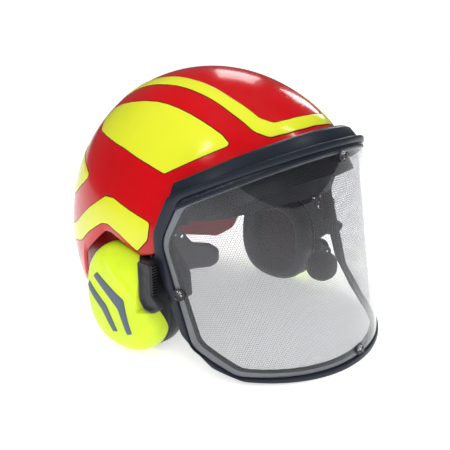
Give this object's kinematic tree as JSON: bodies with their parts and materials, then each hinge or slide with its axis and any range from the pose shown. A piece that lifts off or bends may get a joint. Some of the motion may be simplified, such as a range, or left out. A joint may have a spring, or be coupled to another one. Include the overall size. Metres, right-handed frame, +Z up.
{
  "type": "forestry helmet",
  "caption": "Forestry safety helmet with a lift-up mesh and clear visor, swing-out ear cups, a microphone boom and a size-adjusting nape knob.",
  "frame": {"origin": "centre of the overall box in plan, on the table plane that the visor's lower edge, both ear cups and the nape pad rest on", "axes": "+Z up, -Y the wearer's front (the visor side), +X the wearer's left"},
  "size_m": [0.241, 0.2955, 0.2101],
  "materials": {
    "gloss_red": "moulded in red, high gloss",
    "black_liner": "black, fine grain",
    "signal_yellow": "fluorescent yellow, gloss",
    "strap_textile": "black woven strap",
    "band_grey": "dark grey, fine grain",
    "sweatband_cloth": "dark padded cloth",
    "carrier_plastic": "black, fine grain",
    "fastener_steel": "bright steel",
    "pad_rubber": "grey soft pad",
    "visor_plastic": "dark blue-grey, satin",
    "clear_sheet": "clear, polished",
    "mesh_steel": "fine etched mesh",
    "stud_clear": "clear, polished",
    "washer_grey": "dark grey",
    "cup_yellow": "fluorescent yellow, satin",
    "chevron_grey": "slate grey print",
    "seal_skin": "black, smooth soft skin",
    "foam_brown": "open foam, dark",
    "speaker_black": "black",
    "arm_grey": "dark grey, satin",
    "rack_black": "black",
    "button_green": "dark green soft cap",
    "board_green": "circuit board",
    "cell_silver": "foil-wrapped cell",
    "boom_grey": "dark flexible stem",
    "foam_black": "open foam, dark"
  },
  "bodies": {
    "helmet": {"outer_shell": "gloss_red", "inner_shell": "black_liner", "crown_stripe": "signal_yellow", "side_panel_right": "signal_yellow", "side_panel_left": "signal_yellow", "lower_stripe": "signal_yellow", "rear_panel": "signal_yellow", "suspension_straps": "strap_textile", "headband_front": "band_grey", "sweatband": "sweatband_cloth", "harness_clips": "carrier_plastic", "side_carrier_right": "carrier_plastic", "side_carrier_left": "carrier_plastic", "pivot_pins": "fastener_steel", "muff_bracket_right": "carrier_plastic", "muff_bracket_left": "carrier_plastic", "muff_hinge_pins": "fastener_steel", "shell_screws": "fastener_steel"},
    "size_adjuster": {"headband_rear": "band_grey", "nape_pad": "pad_rubber", "ratchet_housing": "carrier_plastic", "size_racks": "carrier_plastic"},
    "knob": {"adjustment_knob": "carrier_plastic"},
    "visor": {"visor_frame": "visor_plastic", "brow_bar": "visor_plastic", "clear_shield": "clear_sheet", "visor_mesh": "mesh_steel", "mesh_retainer": "visor_plastic", "shield_studs": "stud_clear", "stud_washers": "washer_grey", "visor_arm_right": "arm_grey", "visor_arm_left": "arm_grey"},
    "button": {"control_button": "button_green"},
    "boom": {"mic_boom": "boom_grey", "mic_windscreen": "foam_black"},
    "muff_arm_right": {"muff_arm_right": "arm_grey", "arm_rack_right": "rack_black"},
    "cup_right": {"muff_slider_right": "carrier_plastic", "cup_shell_right": "cup_yellow", "cup_stripes_right": "chevron_grey", "cup_base_plate_right": "carrier_plastic", "ear_seal_right": "seal_skin", "cup_foam_right": "foam_brown", "speaker_right": "speaker_black", "circuit_board": "board_green", "battery": "cell_silver"},
    "muff_arm_left": {"muff_arm_left": "arm_grey", "arm_rack_left": "rack_black"},
    "cup_left": {"muff_slider_left": "carrier_plastic", "cup_shell_left": "cup_yellow", "cup_stripes_left": "chevron_grey", "cup_base_plate_left": "carrier_plastic", "ear_seal_left": "seal_skin", "cup_foam_left": "foam_brown", "speaker_left": "speaker_black", "boom_pivot": "carrier_plastic"}
  },
  "joints": [
    {"name": "visor_lift", "type": "hinge", "parent": "helmet", "child": "visor", "pos_m": [0, -0.012, 0.118], "axis": [-1, 0, 0], "range_deg": [0, 62]},
    {"name": "size_slide", "type": "slide", "parent": "helmet", "child": "size_adjuster", "axis": [0, -1, 0], "range_m": [0, 0.012]},
    {"name": "knob_turn", "type": "hinge", "parent": "size_adjuster", "child": "knob", "pos_m": [0, 0.11, 0.067], "axis": [0, 1, 0], "range_deg": [0, 200]},
    {"name": "button_press", "type": "slide", "parent": "cup_right", "child": "button", "axis": [0, -0.8175, 0.576], "range_m": [0, 0.0012], "stiffness_N_per_m": 400, "springref_m": -0.0008},
    {"name": "boom_swing", "type": "hinge", "parent": "cup_left", "child": "boom", "pos_m": [0.094, -0.044, 0.04], "axis": [-1, 0, 0], "range_deg": [-12, 50]},
    {"name": "muff_swing_right", "type": "hinge", "parent": "helmet", "child": "muff_arm_right", "pos_m": [-0.0985, -0.0325, 0.0825], "axis": [0, 1, 0], "range_deg": [0, 7]},
    {"name": "cup_slide_right", "type": "slide", "parent": "muff_arm_right", "child": "cup_right", "axis": [0, 0, -1], "range_m": [0, 0.01]},
    {"name": "muff_swing_left", "type": "hinge", "parent": "helmet", "child": "muff_arm_left", "pos_m": [0.0985, -0.0325, 0.0825], "axis": [0, -1, 0], "range_deg": [0, 7]},
    {"name": "cup_slide_left", "type": "slide", "parent": "muff_arm_left", "child": "cup_left", "axis": [0, 0, -1], "range_m": [0, 0.01]}
  ],
  "couplings": [
    {"joint": "knob_turn", "follows": "size_slide", "rad_per_m": 285}
  ]
}
